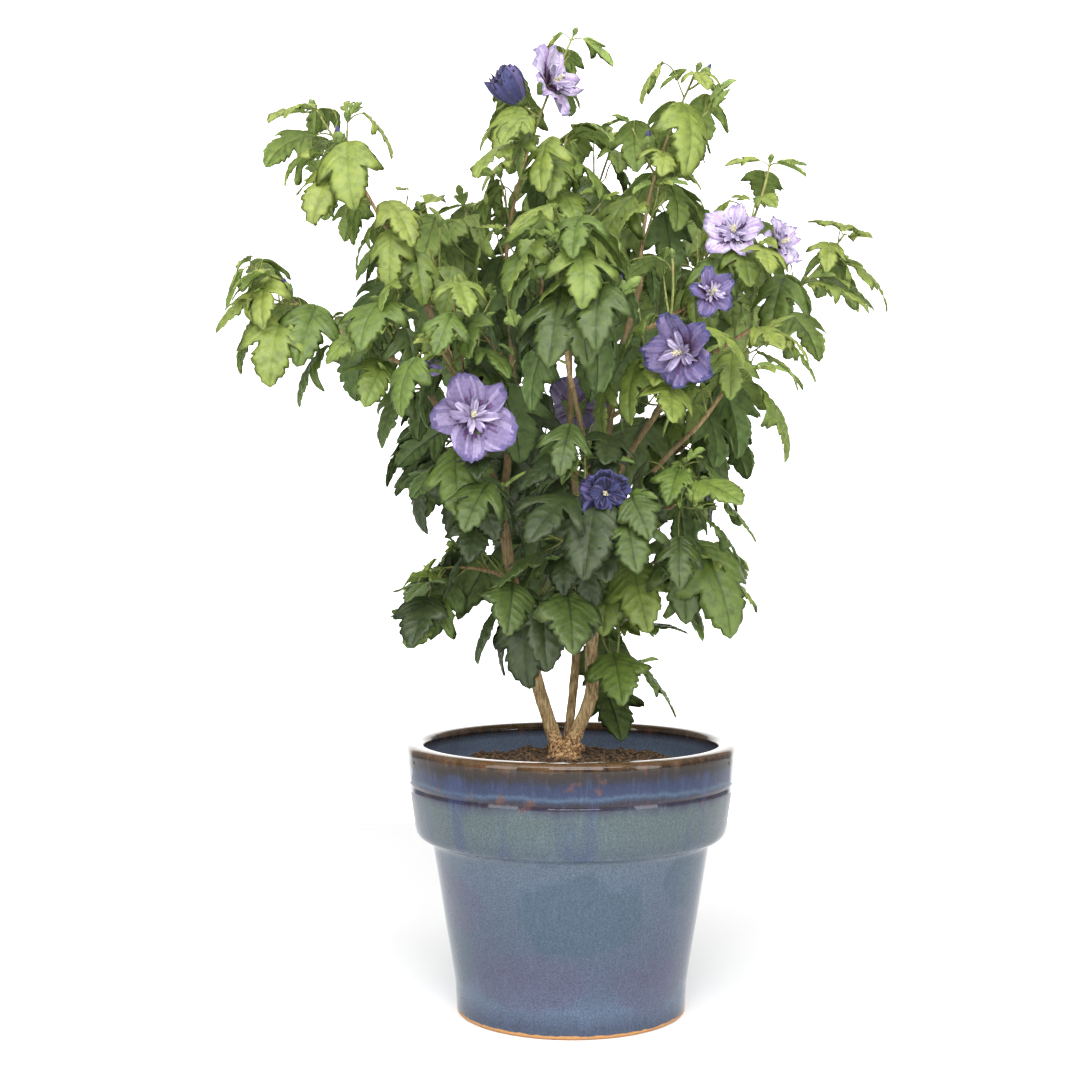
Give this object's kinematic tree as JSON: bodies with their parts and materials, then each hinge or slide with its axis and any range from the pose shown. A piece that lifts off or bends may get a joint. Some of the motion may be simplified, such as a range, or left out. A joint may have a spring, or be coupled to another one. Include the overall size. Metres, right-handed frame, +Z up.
{
  "type": "potted hibiscus shrub",
  "caption": "Hibiscus shrub on a forked trunk with leafy flowering sprays, in a round collared glazed pot filled with potting soil.",
  "frame": {"origin": "centre of the pot's flat underside", "axes": "+Z up along the pot's axis, -Y towards the side that the picture shows, +X to its right"},
  "size_m": [0.6051, 0.4627, 0.8847],
  "materials": {
    "pot_glaze": "glossy mottled blue glaze with a brown lip",
    "potting_soil": "dark crumbly potting mix with bark chips",
    "bark": "matte tan bark with fine ridges",
    "foliage": "satin green leaves with lavender blooms"
  },
  "bodies": {
    "root": {"pot": "pot_glaze", "soil": "potting_soil", "trunk": "bark", "stem_left": "bark", "stem_right": "bark", "stem_back": "bark", "bough_upper_left": "bark", "bough_top": "bark", "bough_left": "bark", "bough_centre": "bark", "bough_right": "bark", "bough_far_right": "bark", "bough_low_right": "bark", "bough_front": "bark", "bough_back": "bark", "bough_back_left": "bark", "bough_back_right": "bark", "spray_top": "foliage", "spray_upper_left": "foliage", "spray_far_left": "foliage", "spray_left_shoulder": "foliage", "spray_mid_left": "foliage", "spray_front_left": "foliage", "spray_left_inner": "foliage", "spray_centre": "foliage", "spray_front": "foliage", "spray_low_front": "foliage", "spray_upper_right": "foliage", "spray_right": "foliage", "spray_far_right": "foliage", "spray_front_right": "foliage", "spray_right_low": "foliage", "spray_right_inner": "foliage", "spray_base_right": "foliage", "spray_foot_right": "foliage", "spray_low_left": "foliage", "spray_foot_front": "foliage", "spray_back_top": "foliage", "spray_back_left": "foliage", "spray_back_right": "foliage", "spray_back_low_left": "foliage", "spray_back_low_right": "foliage", "spray_back_low": "foliage"}
  },
  "joints": []
}
